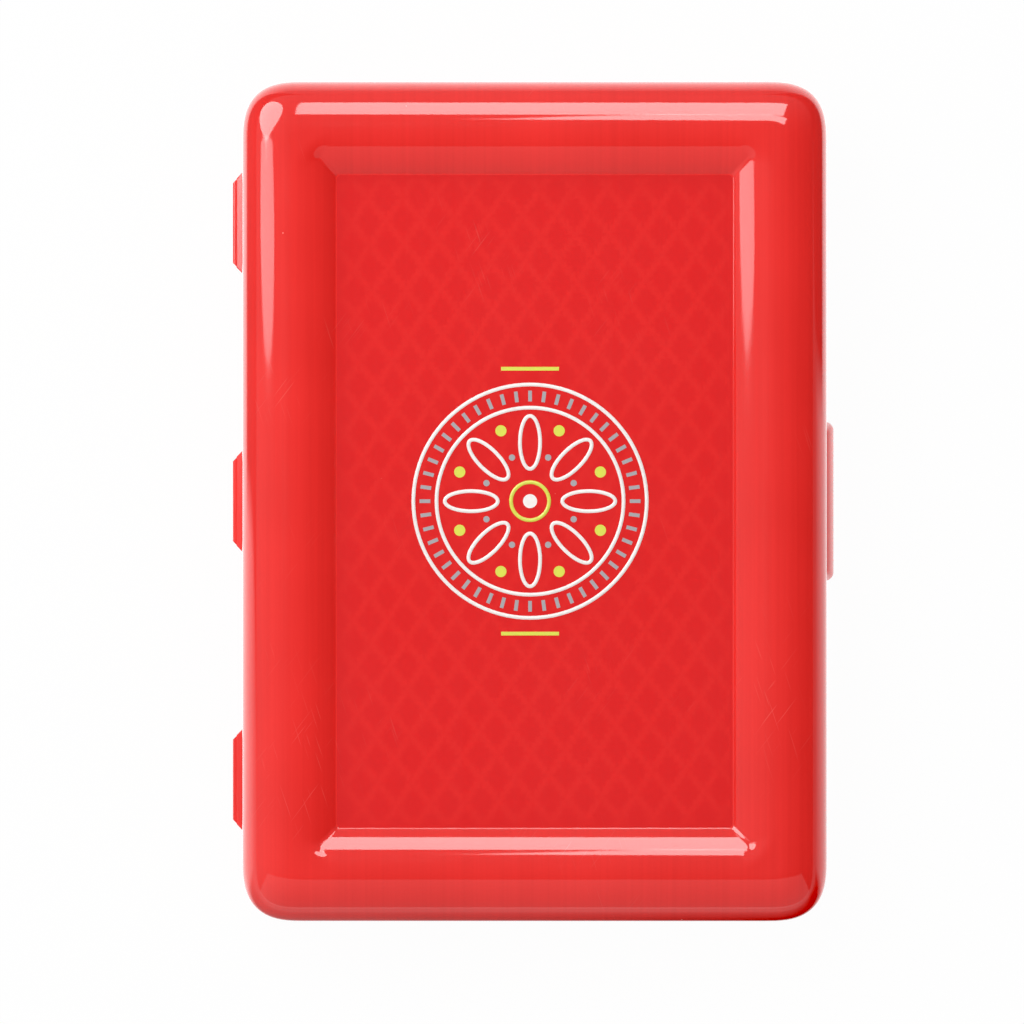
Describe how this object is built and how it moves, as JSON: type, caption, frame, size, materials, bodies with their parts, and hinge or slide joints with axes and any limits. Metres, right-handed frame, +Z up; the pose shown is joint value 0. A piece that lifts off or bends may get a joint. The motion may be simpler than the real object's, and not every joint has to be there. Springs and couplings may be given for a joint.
{
  "type": "deck of playing cards in case",
  "caption": "Flat hinged plastic case with rounded edges, a domed rim round a sunk panel, a thumb lip and moulded hinge straps, holding a deck of playing cards.",
  "frame": {"origin": "middle of the whole footprint, hinge straps and thumb lip included, on the underside that rests on the table", "axes": "+Z up out of the lid's panel, +Y along the case, +X towards the thumb lip; the hinge is on the -X side"},
  "size_m": [0.0734, 0.102, 0.0212],
  "materials": {
    "case_plastic": "gloss",
    "hinge_plastic": "gloss",
    "card_stock": "satin"
  },
  "bodies": {
    "base": {"base_shell": "case_plastic", "hinge_strap_top": "hinge_plastic", "hinge_strap_middle": "hinge_plastic", "hinge_strap_bottom": "hinge_plastic"},
    "lid": {"lid_shell": "case_plastic"},
    "deck": {"card_clubs_ace": "card_stock", "card_clubs_2": "card_stock", "card_clubs_3": "card_stock", "card_clubs_4": "card_stock", "card_clubs_5": "card_stock", "card_clubs_6": "card_stock", "card_clubs_7": "card_stock", "card_clubs_8": "card_stock", "card_clubs_9": "card_stock", "card_clubs_10": "card_stock", "card_clubs_jack": "card_stock", "card_clubs_queen": "card_stock", "card_clubs_king": "card_stock", "card_diamonds_ace": "card_stock", "card_diamonds_2": "card_stock", "card_diamonds_3": "card_stock", "card_diamonds_4": "card_stock", "card_diamonds_5": "card_stock", "card_diamonds_6": "card_stock", "card_diamonds_7": "card_stock", "card_diamonds_8": "card_stock", "card_diamonds_9": "card_stock", "card_diamonds_10": "card_stock", "card_diamonds_jack": "card_stock", "card_diamonds_queen": "card_stock", "card_diamonds_king": "card_stock", "card_hearts_ace": "card_stock", "card_hearts_2": "card_stock", "card_hearts_3": "card_stock", "card_hearts_4": "card_stock", "card_hearts_5": "card_stock", "card_hearts_6": "card_stock", "card_hearts_7": "card_stock", "card_hearts_8": "card_stock", "card_hearts_9": "card_stock", "card_hearts_10": "card_stock", "card_hearts_jack": "card_stock", "card_hearts_queen": "card_stock", "card_hearts_king": "card_stock", "card_spades_ace": "card_stock", "card_spades_2": "card_stock", "card_spades_3": "card_stock", "card_spades_4": "card_stock", "card_spades_5": "card_stock", "card_spades_6": "card_stock", "card_spades_7": "card_stock", "card_spades_8": "card_stock", "card_spades_9": "card_stock", "card_spades_10": "card_stock", "card_spades_jack": "card_stock", "card_spades_queen": "card_stock", "card_spades_king": "card_stock", "card_joker_plain": "card_stock", "card_joker_bonus": "card_stock"}
  },
  "joints": [
    {"name": "lid_hinge", "type": "hinge", "parent": "base", "child": "lid", "pos_m": [-0.03672, 0, 0.01061], "axis": [0, -1, 0], "range_deg": [0, 180], "deforming": ["hinge_strap_top", "hinge_strap_middle", "hinge_strap_bottom"]},
    {"name": "deck_lift", "type": "slide", "parent": "base", "child": "deck", "axis": [0, 0, 1], "range_m": [0, 0.0005]}
  ]
}
